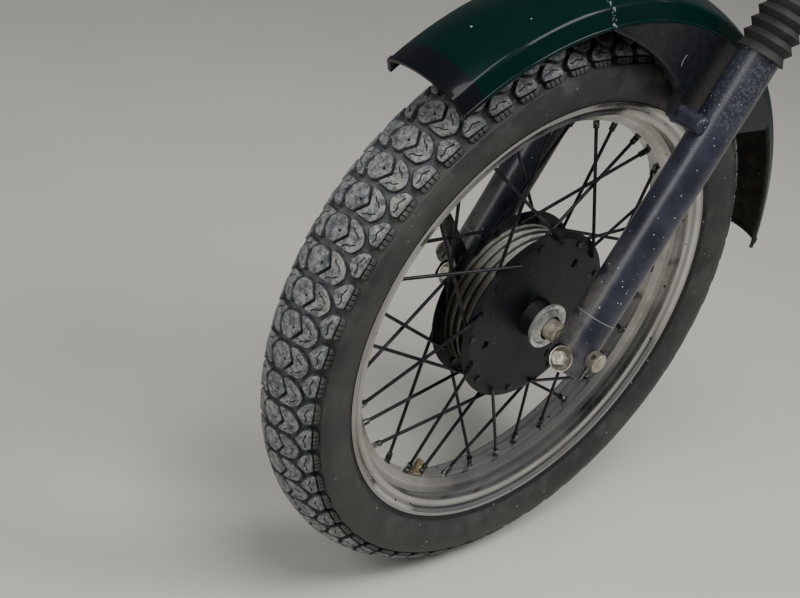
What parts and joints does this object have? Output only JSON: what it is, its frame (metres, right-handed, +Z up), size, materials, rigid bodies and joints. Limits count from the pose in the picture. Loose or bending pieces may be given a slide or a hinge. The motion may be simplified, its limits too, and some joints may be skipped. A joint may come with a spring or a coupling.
{
  "type": "moped front wheel with fork legs and mudguard",
  "caption": "Laced motorcycle front wheel with a finned drum hub, carried in telescopic fork legs with gaiters, brake plate with lever, and a braced steel mudguard.",
  "frame": {"origin": "on the left stanchion's axis, in the middle of the length that its yoke clamps", "axes": "+X forward, +Y to the rider's left, +Z up; the wheel turns about Y and the stanchions lean back 27 degrees"},
  "size_m": [0.6668, 0.242, 0.7634],
  "materials": {
    "leg_paint": "blue-grey paint, chipped to pale primer specks",
    "zinc": "zinc plated, dulled",
    "chrome_tube": "hard chrome",
    "gaiter_rubber": "dusty black rubber",
    "cast_alloy": "cast aluminium, turned fins",
    "green_enamel": "deep green gloss enamel",
    "tyre": "aged grey rubber with dust",
    "chrome_rim": "chrome dulled by grime",
    "dark_steel": "steel wire under dark paint",
    "black_paint": "black paint, dusty",
    "brass": "brass, tarnished"
  },
  "bodies": {
    "fork": {"slider_l": "leg_paint", "slider_r": "leg_paint", "foot_l": "leg_paint", "foot_r": "leg_paint", "pinch_washer_l": "zinc", "pinch_washer_r": "zinc", "pinch_bolt_l": "zinc", "pinch_bolt_r": "zinc", "lug_l": "leg_paint", "lug_r": "leg_paint", "stanchion_l": "chrome_tube", "stanchion_r": "chrome_tube", "gaiter_l": "gaiter_rubber", "gaiter_r": "gaiter_rubber", "axle": "zinc", "axle_nut": "zinc", "spacer_l": "zinc", "spacer_r": "zinc", "brake_plate": "cast_alloy", "brake_cam": "zinc", "brake_lever": "zinc", "mudguard": "green_enamel", "bracket_l": "leg_paint", "bracket_r": "leg_paint", "lug_bolt_l": "zinc", "lug_bolt_r": "zinc"},
    "wheel": {"tyre": "tyre", "rim": "chrome_rim", "spokes_l": "dark_steel", "spokes_r": "dark_steel", "nipples": "dark_steel", "hub_drum": "cast_alloy", "hub_disc_l": "black_paint", "hub_disc_r": "black_paint", "dust_cap": "zinc", "valve": "brass", "valve_nut": "brass"}
  },
  "joints": [
    {"name": "wheel_spin", "type": "hinge", "parent": "fork", "child": "wheel", "pos_m": [0.21565, -0.086, -0.42323], "axis": [0, 1, 0], "continuous": true}
  ]
}
